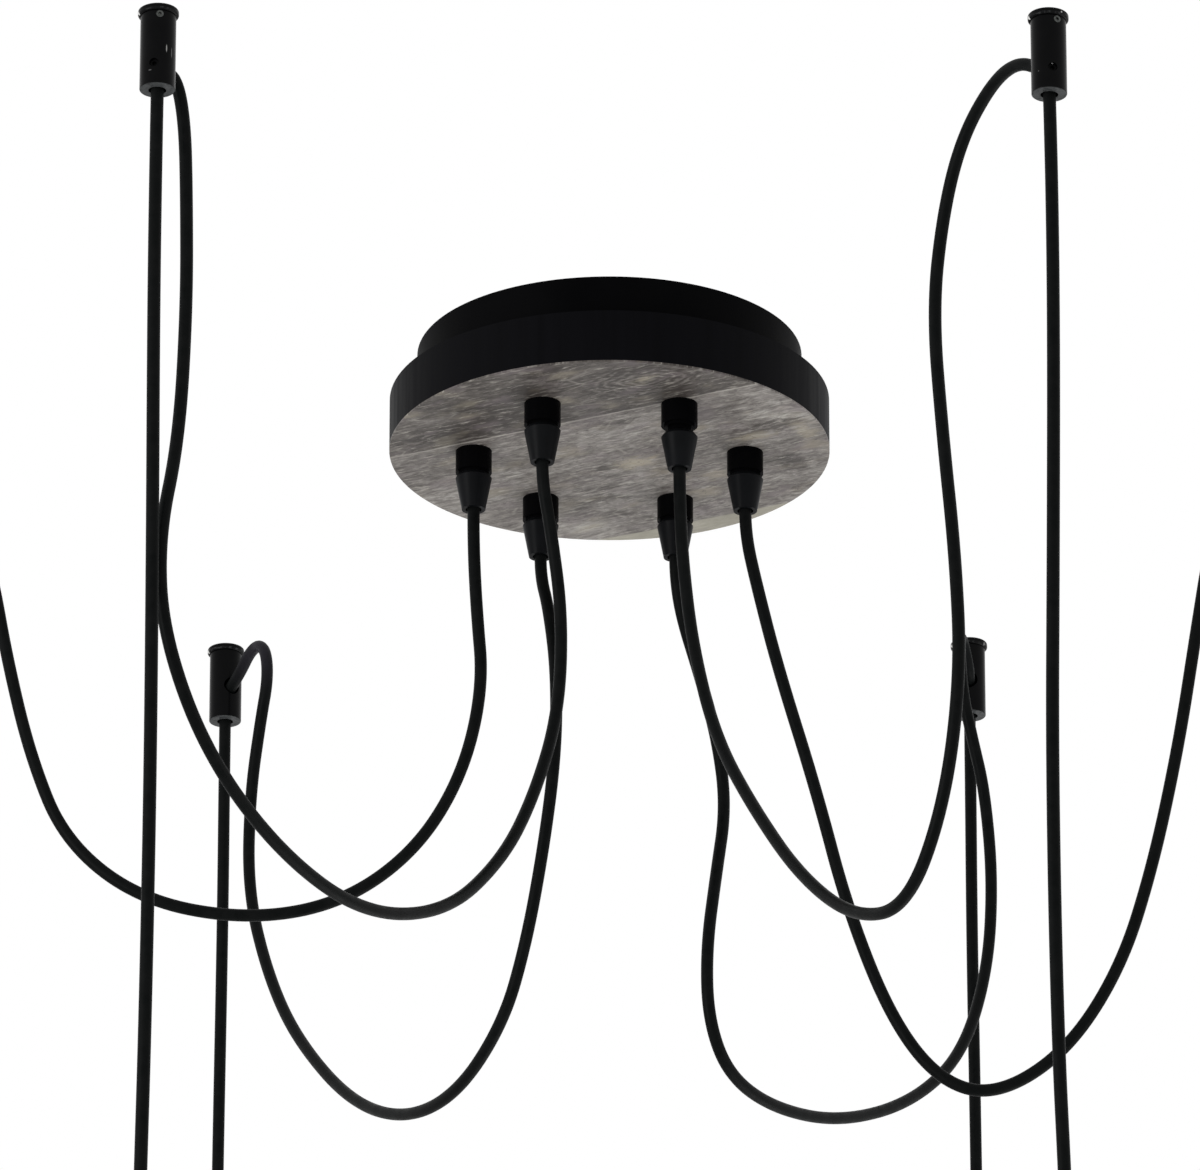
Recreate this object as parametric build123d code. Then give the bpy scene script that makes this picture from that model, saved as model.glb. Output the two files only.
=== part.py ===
from build123d import *
import os
from math import atan2, cos, degrees, pi, radians, sin, sqrt, tan

# Multi-light pendant light. A round two-tier canopy screws to the ceiling and feeds six
# black cords. Each cord leaves the canopy through a cord grip, swags to its own ceiling
# hook, passes in through the hook's side and hangs straight down to a lampholder.
#
# Frame: millimetres, +Z up, origin at the canopy's centre on the ceiling plane, so the
# whole light lies below z = 0. Arm 1 points along +X and the arms count anticlockwise
# seen from above. On each arm, reach runs from the grip's axis towards the hook's axis,
# aside runs level and square to that, and height is z.

# Cord
cord_diameter = 7.0
cord_play = 0.2

# Arms: how far out from the grips the hooks stand, as set out by hand on the ceiling
arm_count = 6
hook_span = 413.0
hook_reach_shares = (1.0, 0.96, 0.99, 1.0, 1.04, 1.024)
hook_bearings = (0.0, 61.9, 117.7, 180.0, 241.0, 297.2)

# Canopy: steel pan above, thick disc below with a printed wood face under it. The disc is
# wider than the pan, its pocket is wider than the pan's mouth, and the grips stand in it.
pan_diameter = 219.0
pan_height = 28.0
pan_wall = 1.2
pan_rim_width = 19.0
disc_overhang = 15.5
disc_height = 31.5
disc_floor = 10.0
pocket_step = 4.5
grip_inset = 18.0
face_thickness = 1.0

# Ceiling bracket: a strap with two slots and a bent tab at each end
bracket_width = 25.0
bracket_thickness = 1.5
bracket_tab_drop = 14.0
bracket_slot_spacing = 100.0
bracket_slot_width = 5.2
bracket_slot_length = 14.0
bracket_play = 0.3

# Screws of the canopy
screw_play = 0.05
side_screw_diameter = 4.0
side_screw_length = 8.0
side_screw_depth = 8.0
side_screw_socket = 2.0
disc_screw_count = 4
disc_screw_diameter = 3.5
disc_screw_length = 16.0
disc_screw_head_diameter = 7.0
disc_screw_head_height = 2.2
disc_screw_slot = 1.0

# Terminal block under the bracket, and the leads that run to it
pole_count = 3
pole_pitch = 20.0
block_end = 8.0
block_width = 16.0
block_height = 15.0
well_diameter = 8.4
well_depth = 9.0
supply_hole_diameter = 3.2
supply_hole_depth = 6.0
supply_hole_drop = 4.0
terminal_screw_diameter = 4.0
terminal_screw_length = 3.0
terminal_screw_slot = 0.8
lead_diameter = 2.2
lead_bend_radius = 3.0
lead_rise = 5.0
lead_step = 4.0
lead_insertion = 7.0
lead_ring_radius = 2.6
sheath_lead_radius = 1.5

# Cord grip: body with a threaded stem, locknut, collet and cone nut. The slacks say how
# far each arm's nut is unscrewed.
grip_diameter = 20.6
grip_collar_height = 13.2
grip_shoulder_diameter = 17.2
grip_shoulder_height = 1.6
grip_thread_diameter = 13.0
grip_thread_length = 11.2
stem_diameter = 10.0
stem_spare = 4.0
stem_play = 0.1
sheath_tail = 5.0
locknut_across_flats = 14.0
locknut_height = 4.0
nut_height = 21.2
nut_bevel_height = 2.1
nut_bevel_inset = 1.5
nut_tip_diameter = 13.4
nut_exit_diameter = 9.2
nut_exit_length = 2.0
nut_play = 0.3
nut_slacks = (0, 0, 0, 0, 0, 3.6)
collet_wall = 1.3
collet_taper = 1.1
collet_slit = 0.8
collet_slit_count = 3

# Ceiling hook: flanged tube over a screwed base, one screw to lock it, one for the cord
hook_diameter = 19.2
hook_height = 47.3
hook_wall = 1.6
hook_floor = 2.5
hook_flange_diameter = 22.0
hook_flange_height = 4.0
hook_flange_rounding = 1.3
hook_foot_rounding = 0.7
hook_outlet_play = 1.3
side_hole_play = 1.5
side_hole_depth = 27.0
side_hole_chamfer = 0.6
clamp_screw_diameter = 5.0
clamp_screw_depth = 35.0
clamp_screw_sink = 1.6
set_screw_diameter = 4.0
set_screw_depth = 6.4
set_screw_proud = 0.3
set_screw_bearing = 17.0
hook_base_height = 9.0
hook_base_play = 0.2
base_hole_diameter = 4.4
base_countersink_diameter = 8.6

# Drops and lampholders
holder_depth = 700.0
hinge_gap = 0.3
holder_diameter = 40.0
holder_wall = 2.0
holder_neck_diameter = 14.0
holder_neck_height = 12.0
holder_neck_rounding = 1.5
holder_dome_height = 12.0
holder_cap_skirt = 9.0
holder_sleeve_height = 40.0
holder_bead_height = 3.0
holder_bead_proud = 0.8
holder_play = 0.3
holder_cord_insertion = 16.0
socket_diameter = 26.6
socket_depth = 25.0
insert_floor = 5.0
insert_recess = 3.0
insert_head_diameter = 27.0
insert_head_height = 8.0

# Share of a run that its arc may take, and the same for the short bends inside the hooks
arc_share = 0.45
inner_bend_share = 0.75

# One overrun serves every cut
overrun = 1.0

# Free cords, from grip to hook: reach, aside and height of each corner between the ends
swag_routes = (
    ((0, 0, -110), (6, 0, -140), (18, 0, -192), (39, 0, -266), (56, 0, -338), (80, 0, -404),
     (107, 0, -441), (138, 0, -449), (177, 0, -423), (208, 0, -373), (227, 0, -312),
     (243, 0, -238), (254, 0, -170), (264, 0, -110), (285, 0, -62), (318, 0, -30),
     (355, 0, -16), (386, 0, -18)),
    ((0, 0, -108), (8, 0, -130), (30, 0, -156), (53, 0, -188), (64, 0, -226), (51, 0, -272),
     (38, 0, -322), (40, 0, -365), (66, 0, -390), (120, -2, -392), (199, -5, -374),
     (281, -11, -336), (338, -18, -288), (371, -20, -224), (380, -20, -162),
     (379, -16, -104), (366, -14.4, -75), (356, -13.2, -50), (352, -13.4, -28),
     (357, -11.2, -11), (368, -8, -10), (375.5, -8.2, -25.5)),
    ((0, 0, -108), (-10, 0, -131), (-20, 0, -175), (-19, 0, -225), (-4, 0, -278),
     (17, 0, -328), (44, 0, -366), (100, 0, -390), (165, 0, -384), (235, 0, -350),
     (305, 0, -288), (345, 0, -234), (374, 0, -170), (373, 0, -108), (359, 0, -62),
     (351, 0, -42), (353, 0, -23), (363, 0, -13.5), (376, 0, -14.5), (387, 0, -22)),
    ((0, 0, -117), (-2, 0, -157), (-6, 0, -205), (6, 0, -260), (33, 0, -306), (75, 0, -337),
     (128, 0, -346), (186, 0, -334), (228, 0, -299), (248, 0, -248), (262, 0, -190),
     (272, 0, -135), (287, 0, -85), (312, 0, -44), (350, 0, -20), (385, 0, -17)),
    ((0, 0, -108), (-10, 0, -132), (-24, 0, -180), (-20, 0, -240), (8, 0, -300),
     (45, 0, -352), (109, 0, -406), (200, 0, -439), (291, 0, -436), (370, 0, -408),
     (417, 0, -358), (424, 0, -305), (404, 0, -240), (398, 0, -160), (400, 0, -95),
     (403, 0, -55), (406.7, -2.8, -30), (417.4, -4.9, -27.5)),
    ((0, 0, -118), (4, 0, -160), (16, 0, -215), (42, 0, -278), (85, 0, -335), (140, 0, -396),
     (200, 0, -441), (258, 0, -456), (300, 0, -413), (320, 0, -345), (316, 0, -275),
     (303, 0, -195), (294, 0, -120), (307, 0, -68), (328, 0, -33), (362, 0, -14),
     (391, 0, -13), (408.6, 4.9, -24)),
)

# Radii, and heights of the main levels
cord_radius = cord_diameter / 2
pan_radius = pan_diameter / 2
pan_mouth_radius = pan_radius - pan_rim_width
disc_radius = pan_radius + disc_overhang
pocket_radius = pan_mouth_radius + pocket_step
grip_circle_radius = pocket_radius - grip_inset
hook_circle_radius = grip_circle_radius + hook_span
grip_radius = grip_diameter / 2
stem_radius = stem_diameter / 2
hook_radius = hook_diameter / 2
hook_inner_radius = hook_radius - hook_wall
hook_base_radius = hook_inner_radius - hook_base_play
holder_radius = holder_diameter / 2
cord_bore_radius = cord_radius + cord_play

disc_top = -pan_height
face_bottom = disc_top - disc_height
face_top = face_bottom + face_thickness
pocket_floor = face_top + disc_floor
stem_top = pocket_floor + locknut_height + stem_spare
sheath_top = stem_top + sheath_tail
shoulder_top = face_bottom - grip_collar_height
nut_top = shoulder_top - grip_shoulder_height
nut_bottom = nut_top - nut_height
thread_bottom = nut_top - grip_thread_length
block_top = -bracket_thickness
block_bottom = block_top - block_height
hook_bottom = -hook_height
hinge_height = hook_bottom + hook_floor / 2
fixed_cord_bottom = hinge_height + cord_radius + hinge_gap
holder_top = -holder_depth
cap_bottom = holder_top - holder_neck_height - holder_dome_height - holder_cap_skirt
sleeve_bottom = cap_bottom - holder_sleeve_height


def turned(outline):
    """Solid of revolution about Z from an outline of (radius, height) points."""
    edge = Polyline(*[(radius, 0, height) for radius, height in outline], close=True)
    return revolve(make_face(edge), Axis.Z)


def upright(radius, bottom, top):
    """Round bar on Z between two heights."""
    return Pos(0, 0, bottom) * extrude(Circle(radius), amount=top - bottom)


def level_bar(radius, start, end, height):
    """Round bar along X between two places, at a height."""
    section = Plane(origin=(start, 0, height), x_dir=(0, 1, 0), z_dir=(1, 0, 0)) * Circle(radius)
    return extrude(section, amount=end - start)


def brick(low, high):
    """Box between two corners."""
    size = [high[axis] - low[axis] for axis in range(3)]
    corner = Align.MIN
    return Pos(*low) * Box(*size, align=(corner, corner, corner))


def with_radius(shape, radius):
    """Round edges of a shape that have this radius."""
    circles = shape.edges().filter_by(GeomType.CIRCLE)
    return [edge for edge in circles if abs(edge.radius - radius) < radius / 1000]


def bearing_of(arm):
    """Bearing of an arm's grip, in degrees."""
    return 360.0 * arm / arm_count


def grip_centre(arm):
    bearing = radians(bearing_of(arm))
    return Vector(grip_circle_radius * cos(bearing), grip_circle_radius * sin(bearing), 0)


def hook_centre(arm):
    reach = hook_circle_radius * hook_reach_shares[arm]
    bearing = radians(hook_bearings[arm])
    return Vector(reach * cos(bearing), reach * sin(bearing), 0)


def arm_direction(arm):
    """Level unit vector from an arm's grip to its hook."""
    return (hook_centre(arm) - grip_centre(arm)).normalized()


def on_arm(arm, reach, aside, height):
    """Place of a cord's corner on an arm."""
    along = arm_direction(arm)
    across = Vector(-along.Y, along.X, 0)
    return grip_centre(arm) + along * reach + across * aside + Vector(0, 0, height)


def into_hook(arm):
    """Level unit vector from a cord's last corner to its hook, which the hook's hole faces."""
    reach, aside, height = swag_routes[arm][-1]
    return (hook_centre(arm) - on_arm(arm, reach, aside, 0)).normalized()


def at_grips(shape):
    return Compound(children=[Pos(*grip_centre(arm)) * shape for arm in range(arm_count)])


def at_nuts(shape):
    """Stand a piece at each cone nut, lower where the nut is partly unscrewed."""
    places = [grip_centre(arm) - Vector(0, 0, nut_slacks[arm]) for arm in range(arm_count)]
    return Compound(children=[Pos(*place) * shape for place in places])


def at_hook(arm, shape):
    """Stand a hook piece, made with its cord hole towards -X, at its place."""
    inward = into_hook(arm)
    return Pos(*hook_centre(arm)) * Rot(0, 0, degrees(atan2(inward.Y, inward.X))) * shape


def hook_mouth(arm):
    """Centre of the cord hole on a hook's side."""
    return hook_centre(arm) - into_hook(arm) * hook_radius - Vector(0, 0, side_hole_depth)


def ceiling_bracket():
    reach = sqrt((pan_radius - pan_wall) ** 2 - (bracket_width / 2) ** 2) - bracket_play
    half_width = bracket_width / 2
    strap = brick((-reach, -half_width, -bracket_thickness), (reach, half_width, 0))
    slot = SlotOverall(bracket_slot_length, bracket_slot_width)
    cutter = Pos(0, 0, -bracket_thickness - overrun) * extrude(slot, amount=bracket_thickness + 2 * overrun)
    for side in (-1, 1):
        inner = side * (reach - bracket_thickness)
        low_x = min(inner, side * reach)
        high_x = max(inner, side * reach)
        strap += brick((low_x, -half_width, -bracket_tab_drop), (high_x, half_width, 0))
        strap -= Pos(side * bracket_slot_spacing / 2, 0, 0) * cutter
    tapped = level_bar(side_screw_diameter / 2 + screw_play, -pan_radius, pan_radius, -side_screw_depth)
    return strap - tapped


def base_pan():
    inner = pan_radius - pan_wall
    floor_top = disc_top + pan_wall
    pan = turned([(pan_mouth_radius, disc_top), (pan_radius, disc_top), (pan_radius, 0),
                  (inner, 0), (inner, floor_top), (pan_mouth_radius, floor_top)])
    pan -= level_bar(side_screw_diameter / 2 + screw_play, -pan_radius - overrun,
                     pan_radius + overrun, -side_screw_depth)
    hole = upright(disc_screw_diameter / 2 + screw_play, disc_top - overrun, floor_top + overrun)
    for place in disc_screw_places():
        pan -= place * hole
    return pan


def side_screws():
    """Two sunk-head screws that hold the pan to the bracket, flush with the pan."""
    screws = []
    drive_depth = side_screw_length / 2
    for side in (-1, 1):
        outer = side * pan_radius
        inner = side * (pan_radius - side_screw_length)
        screw = level_bar(side_screw_diameter / 2, outer, inner, -side_screw_depth)
        socket = level_bar(side_screw_socket / 2, outer + side * overrun,
                           outer - side * drive_depth, -side_screw_depth)
        screws.append(screw - socket)
    return Compound(children=screws)


def disc_screw_places():
    """Places of the screws that join the pan's rim to the disc, midway along the bracket's sides."""
    middle = (pocket_radius + pan_radius - pan_wall) / 2
    first = 180.0 / disc_screw_count
    step = 360.0 / disc_screw_count
    return [Rot(0, 0, first + step * index) * Pos(middle, 0, 0) for index in range(disc_screw_count)]


def disc_screws():
    seat = disc_top + pan_wall
    head_top = seat + disc_screw_head_height
    head_radius = disc_screw_head_diameter / 2
    screw = upright(head_radius, seat, head_top)
    screw += upright(disc_screw_diameter / 2, seat - disc_screw_length, seat)
    half_slot = disc_screw_slot / 2
    screw -= brick((-head_radius, -half_slot, head_top - disc_screw_slot),
                   (head_radius, half_slot, head_top + overrun))
    return Compound(children=[place * screw for place in disc_screw_places()])


def disc_body():
    disc = turned([(0, face_top), (disc_radius, face_top), (disc_radius, disc_top),
                   (pocket_radius, disc_top), (pocket_radius, pocket_floor), (0, pocket_floor)])
    stem_hole = upright(stem_radius + stem_play, face_top - overrun, pocket_floor + overrun)
    for arm in range(arm_count):
        disc -= Pos(*grip_centre(arm)) * stem_hole
    pilot = upright(disc_screw_diameter / 2 + screw_play, disc_top + pan_wall - disc_screw_length,
                    disc_top + overrun)
    for place in disc_screw_places():
        disc -= place * pilot
    return disc


def face_panel():
    """Printed wood face under the disc, with a hole for each grip's stem."""
    panel = upright(disc_radius, face_bottom, face_top)
    hole = upright(stem_radius + stem_play, face_bottom - overrun, face_top + overrun)
    for arm in range(arm_count):
        panel -= Pos(*grip_centre(arm)) * hole
    return panel


def pole_place(pole):
    return (pole - (pole_count - 1) / 2) * pole_pitch


def terminal_block():
    half_width = block_width / 2
    half_length = (pole_count - 1) * pole_pitch / 2 + block_end
    block = brick((-half_width, -half_length, block_bottom), (half_width, half_length, block_top))
    supply_height = block_top - supply_hole_drop
    well_height = block_bottom + well_depth / 2
    for pole in range(pole_count):
        at_pole = Pos(0, pole_place(pole), 0)
        block -= at_pole * upright(well_diameter / 2, block_bottom - overrun, block_bottom + well_depth)
        block -= at_pole * level_bar(supply_hole_diameter / 2, -half_width - overrun,
                                     -half_width + supply_hole_depth, supply_height)
        for height in (supply_height, well_height):
            block -= at_pole * level_bar(terminal_screw_diameter / 2 + screw_play,
                                         half_width - terminal_screw_length, half_width + overrun, height)
    return block


def terminal_screws():
    """Two clamping screws for each pole, one for the lamp leads and one for the supply."""
    half_width = block_width / 2
    radius = terminal_screw_diameter / 2
    screws = []
    for pole in range(pole_count):
        for height in (block_top - supply_hole_drop, block_bottom + well_depth / 2):
            screw = level_bar(radius, half_width - terminal_screw_length, half_width, height)
            slot_low = (half_width - terminal_screw_slot, -radius, height - terminal_screw_slot / 2)
            slot_high = (half_width + overrun, radius, height + terminal_screw_slot / 2)
            screw -= brick(slot_low, slot_high)
            screws.append(Pos(0, pole_place(pole), 0) * screw)
    return Compound(children=screws)


def pole_leads(pole):
    """One colour's leads: up out of each cord, level to the block, and up into its well."""
    level = sheath_top + lead_rise + lead_step * pole
    turn = 180.0 + 360.0 * pole / pole_count
    leads = []
    for arm in range(arm_count):
        bearing = radians(bearing_of(arm))
        in_sheath = radians(bearing_of(arm) + turn)
        start = grip_centre(arm) + Vector(cos(in_sheath), sin(in_sheath), 0) * sheath_lead_radius
        end = Vector(0, pole_place(pole), 0) + Vector(cos(bearing), sin(bearing), 0) * lead_ring_radius
        corners = [start + Vector(0, 0, sheath_top), start + Vector(0, 0, level),
                   end + Vector(0, 0, level), end + Vector(0, 0, block_bottom + lead_insertion)]
        path = FilletPolyline(*corners, radius=lead_bend_radius)
        leads.append(sweep(Plane(corners[0]) * Circle(lead_diameter / 2), path=path))
    return Compound(children=leads)


def grip_body():
    """Collar under the face, threaded stem above it and thread for the cone nut below it."""
    shoulder_radius = grip_shoulder_diameter / 2
    thread_radius = grip_thread_diameter / 2
    return turned([(cord_bore_radius, stem_top), (stem_radius, stem_top), (stem_radius, face_bottom),
                   (grip_radius, face_bottom), (grip_radius, shoulder_top),
                   (shoulder_radius, shoulder_top), (shoulder_radius, nut_top),
                   (thread_radius, nut_top), (thread_radius, thread_bottom),
                   (cord_bore_radius, thread_bottom)])


def grip_nut():
    """Cone nut: bevelled top, widest just below it, narrowing to the cord."""
    bore_radius = grip_thread_diameter / 2 + nut_play
    exit_radius = nut_exit_diameter / 2
    widest = nut_top - nut_bevel_height
    seat_top = thread_bottom - nut_play
    seat_bottom = nut_bottom + nut_exit_length
    return turned([(bore_radius, nut_top), (grip_radius - nut_bevel_inset, nut_top),
                   (grip_radius, widest), (nut_tip_diameter / 2, nut_bottom),
                   (exit_radius, nut_bottom), (exit_radius, seat_bottom),
                   (bore_radius, seat_top)])


def grip_collet():
    """Slit sleeve that the cone nut squeezes on the cord, held between the thread and the nut."""
    top = thread_bottom - nut_play
    bottom = nut_bottom + nut_exit_length + nut_play
    outer = cord_bore_radius + collet_wall
    foot = outer - collet_taper
    sleeve = turned([(cord_bore_radius, top), (outer, top), (foot, bottom), (cord_bore_radius, bottom)])
    slit_low = (0, -collet_slit / 2, bottom - overrun)
    slit_high = (outer + overrun, collet_slit / 2, (top + bottom) / 2)
    for index in range(collet_slit_count):
        sleeve -= Rot(0, 0, 360.0 * index / collet_slit_count) * brick(slit_low, slit_high)
    return sleeve


def grip_locknut():
    hexagon = RegularPolygon(locknut_across_flats / 2, side_count=6, major_radius=False)
    nut = Pos(0, 0, pocket_floor) * extrude(hexagon, amount=locknut_height)
    return nut - upright(stem_radius + screw_play, pocket_floor - overrun,
                         pocket_floor + locknut_height + overrun)


def hook_base():
    """Round base that a wood screw holds to the ceiling, countersunk from below."""
    base = upright(hook_base_radius, -hook_base_height, 0)
    base -= upright(base_hole_diameter / 2, -hook_base_height - overrun, overrun)
    sink = (base_countersink_diameter - base_hole_diameter) / 2
    cone = Cone(base_countersink_diameter / 2, base_hole_diameter / 2, sink,
                align=(Align.CENTER, Align.CENTER, Align.MIN))
    return base - Pos(0, 0, -hook_base_height) * cone


def hook_body():
    """Flanged tube with the drop's outlet below and the cord's hole on its canopy side."""
    flange_radius = hook_flange_diameter / 2
    outlet_radius = cord_radius + hook_outlet_play
    tube = turned([(hook_inner_radius, 0), (flange_radius, 0), (flange_radius, -hook_flange_height),
                   (hook_radius, -hook_flange_height), (hook_radius, hook_bottom),
                   (outlet_radius, hook_bottom), (outlet_radius, hook_bottom + hook_floor),
                   (hook_inner_radius, hook_bottom + hook_floor)])
    tube = fillet(with_radius(tube, flange_radius), hook_flange_rounding)
    foot = [edge for edge in with_radius(tube, hook_radius) if edge.center().Z < -hook_height / 2]
    tube = fillet(foot, hook_foot_rounding)
    hole_radius = cord_radius + side_hole_play
    tube -= level_bar(hole_radius, -hook_radius - overrun, 0, -side_hole_depth)
    flare = Cone(hole_radius + side_hole_chamfer + overrun, hole_radius, side_hole_chamfer + overrun,
                 align=(Align.CENTER, Align.CENTER, Align.MIN))
    tube -= Pos(-hook_radius - overrun, 0, -side_hole_depth) * Rot(0, 90, 0) * flare
    tube -= level_bar(clamp_screw_diameter / 2 + screw_play, 0, hook_radius + overrun, -clamp_screw_depth)
    lock_hole = level_bar(set_screw_diameter / 2 + screw_play, hook_base_radius, hook_radius + overrun,
                          -set_screw_depth)
    return tube - Rot(0, 0, set_screw_bearing) * lock_hole


def hook_screws():
    """Clamp screw on the vertical cord, and lock screw on the base, each with a socket."""
    clamp_end = hook_radius - clamp_screw_sink
    clamp = level_bar(clamp_screw_diameter / 2, cord_radius + cord_play, clamp_end, -clamp_screw_depth)
    clamp -= level_bar(clamp_screw_diameter / 4, clamp_end - clamp_screw_sink, clamp_end + overrun,
                       -clamp_screw_depth)
    lock_end = hook_radius + set_screw_proud
    lock = level_bar(set_screw_diameter / 2, hook_base_radius + screw_play, lock_end, -set_screw_depth)
    lock -= level_bar(set_screw_diameter / 4, lock_end - set_screw_diameter / 4, lock_end + overrun,
                      -set_screw_depth)
    return [clamp, Rot(0, 0, set_screw_bearing) * lock]


def swag_corners(arm):
    """Corners of an arm's free cord, from the nut's mouth to the hook's side hole."""
    first = on_arm(arm, 0, 0, nut_bottom - nut_slacks[arm])
    return [first] + [on_arm(arm, *corner) for corner in swag_routes[arm]] + [hook_mouth(arm)]


def turn_at(corners, index):
    """How far a route turns at a corner, in degrees."""
    before = corners[index] - corners[index - 1]
    after = corners[index + 1] - corners[index]
    return before.get_angle(after)


def arc_radii(corners, share):
    """Radius of the arc at each inner corner, as large as its two runs allow."""
    radii = []
    for index in range(1, len(corners) - 1):
        before = (corners[index] - corners[index - 1]).length
        after = (corners[index + 1] - corners[index]).length
        radii.append(share * min(before, after) / tan(radians(turn_at(corners, index) / 2)))
    return radii


def cord_tube(corners, share):
    """Round cord along straight runs joined by tangent arcs."""
    path = FilletPolyline(*corners, radius=arc_radii(corners, share))
    across = Plane(origin=corners[0], z_dir=corners[1] - corners[0])
    return sweep(across * Circle(cord_radius), path=path), path.length


def grip_cord(arm):
    """Cord inside a grip, from the pocket to the nut's mouth."""
    return Pos(*grip_centre(arm)) * upright(cord_radius, nut_bottom - nut_slacks[arm], sheath_top)


def hook_cord(arm):
    """Cord inside a hook: on from the side hole, round and down to the outlet."""
    before, mouth = swag_corners(arm)[-2:]
    inward = mouth - before
    slope = inward.Z / sqrt(inward.X ** 2 + inward.Y ** 2)
    bend = hook_centre(arm) + Vector(0, 0, mouth.Z + slope * hook_radius)
    end = hook_centre(arm) + Vector(0, 0, fixed_cord_bottom)
    return cord_tube([mouth, bend, end], inner_bend_share)[0]


def drop_cord():
    """Straight cord from the hook's outlet into the lampholder, round at its hinge."""
    ball = Pos(0, 0, hinge_height) * Sphere(cord_radius)
    return ball + upright(cord_radius, holder_top - holder_cord_insertion, hinge_height)


def holder_cap():
    """Upper part of the lampholder: neck for the cord, dome and skirt."""
    neck_radius = holder_neck_diameter / 2
    neck_bottom = holder_top - holder_neck_height
    skirt_top = neck_bottom - holder_dome_height
    inner = holder_radius - holder_wall
    under = neck_bottom - holder_wall
    cap = turned([(cord_bore_radius, holder_top), (neck_radius, holder_top), (neck_radius, neck_bottom),
                  (holder_radius, skirt_top), (holder_radius, cap_bottom), (inner, cap_bottom),
                  (inner, skirt_top), (neck_radius, under), (cord_bore_radius, under)])
    edges = [edge for edge in with_radius(cap, neck_radius) if edge.center().Z > neck_bottom]
    return fillet(edges, holder_neck_rounding)


def holder_sleeve():
    """Lower part of the lampholder, with a bead round its mouth."""
    inner = holder_radius - holder_wall
    bead = holder_radius + holder_bead_proud
    bead_top = sleeve_bottom + holder_bead_height
    return turned([(inner, cap_bottom), (holder_radius, cap_bottom), (holder_radius, bead_top),
                   (bead, bead_top), (bead, sleeve_bottom), (inner, sleeve_bottom)])


def holder_insert():
    """Insert with the lamp's socket below and its terminals' head up inside the cap."""
    outer = holder_radius - holder_wall - holder_play
    mouth = sleeve_bottom + insert_recess
    socket_top = mouth + socket_depth
    top = socket_top + insert_floor
    insert = turned([(0, socket_top), (socket_diameter / 2, socket_top), (socket_diameter / 2, mouth),
                     (outer, mouth), (outer, top), (0, top)])
    return insert + upright(insert_head_diameter / 2, top, top + insert_head_height)


def make_nodes():
    """Every node of the light by name."""
    nodes = {
        "ceiling_bracket": ceiling_bracket(),
        "base_pan": base_pan(),
        "pan_side_screws": side_screws(),
        "disc_body": disc_body(),
        "disc_face_panel": face_panel(),
        "disc_screws": disc_screws(),
        "terminal_block": terminal_block(),
        "terminal_screws": terminal_screws(),
        "leads_neutral": pole_leads(0),
        "leads_earth": pole_leads(1),
        "leads_live": pole_leads(2),
        "grip_nuts": at_nuts(grip_nut()),
        "grip_collets": at_nuts(grip_collet()),
        "grip_locknuts": at_grips(grip_locknut()),
    }
    arms = range(arm_count)
    grip_ends = [grip_cord(arm) for arm in arms]
    nodes["cord_ends"] = Compound(children=grip_ends + [hook_cord(arm) for arm in arms])
    nodes["hook_bases"] = Compound(children=[at_hook(arm, hook_base()) for arm in arms])
    nodes["hook_screws"] = Compound(
        children=[at_hook(arm, screw) for arm in arms for screw in hook_screws()])
    for arm in arms:
        number = arm + 1
        nodes[f"grip_body_{number}"] = Pos(*grip_centre(arm)) * grip_body()
        nodes[f"hook_body_{number}"] = at_hook(arm, hook_body())
        corners = swag_corners(arm)
        tube, length = cord_tube(corners, arc_share)
        nodes[f"swag_cord_{number}"] = tube
        radii = ", ".join(f"{radius:.0f}" for radius in arc_radii(corners, arc_share))
        swept = pi * cord_radius ** 2 * length
        print(f"swag_cord_{number}: length {length:.0f}, volume {tube.volume:.0f} of {swept:.0f}")
        print(f"  radii {radii}")
        nodes[f"drop_cord_{number}"] = Pos(*hook_centre(arm)) * drop_cord()
        nodes[f"holder_cap_{number}"] = Pos(*hook_centre(arm)) * holder_cap()
        nodes[f"holder_sleeve_{number}"] = Pos(*hook_centre(arm)) * holder_sleeve()
        nodes[f"holder_insert_{number}"] = Pos(*hook_centre(arm)) * holder_insert()
    return nodes


def main():
    os.makedirs("parts", exist_ok=True)
    nodes = make_nodes()
    for name, shape in nodes.items():
        export_step(shape, f"parts/{name}.step")
    print(f"{len(nodes)} nodes written")


main()
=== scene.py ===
from functools import reduce
from math import cos, pi, radians, sin, tau

import bmesh
import bpy
from mathutils import Matrix, Vector


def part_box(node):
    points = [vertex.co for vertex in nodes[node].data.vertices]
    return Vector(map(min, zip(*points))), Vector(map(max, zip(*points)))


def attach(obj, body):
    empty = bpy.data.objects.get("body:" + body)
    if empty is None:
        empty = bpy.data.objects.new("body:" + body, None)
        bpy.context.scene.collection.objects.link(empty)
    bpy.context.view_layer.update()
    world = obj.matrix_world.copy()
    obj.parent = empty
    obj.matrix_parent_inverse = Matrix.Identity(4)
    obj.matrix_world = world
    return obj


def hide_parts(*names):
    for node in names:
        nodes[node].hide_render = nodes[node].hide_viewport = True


# Multi-light pendant light: a two-tier canopy with a printed wood face, six black cords that
# swag to their own ceiling hooks, and a lampholder on each drop. Metres, +Z up, origin on the
# ceiling at the canopy's centre.

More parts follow.
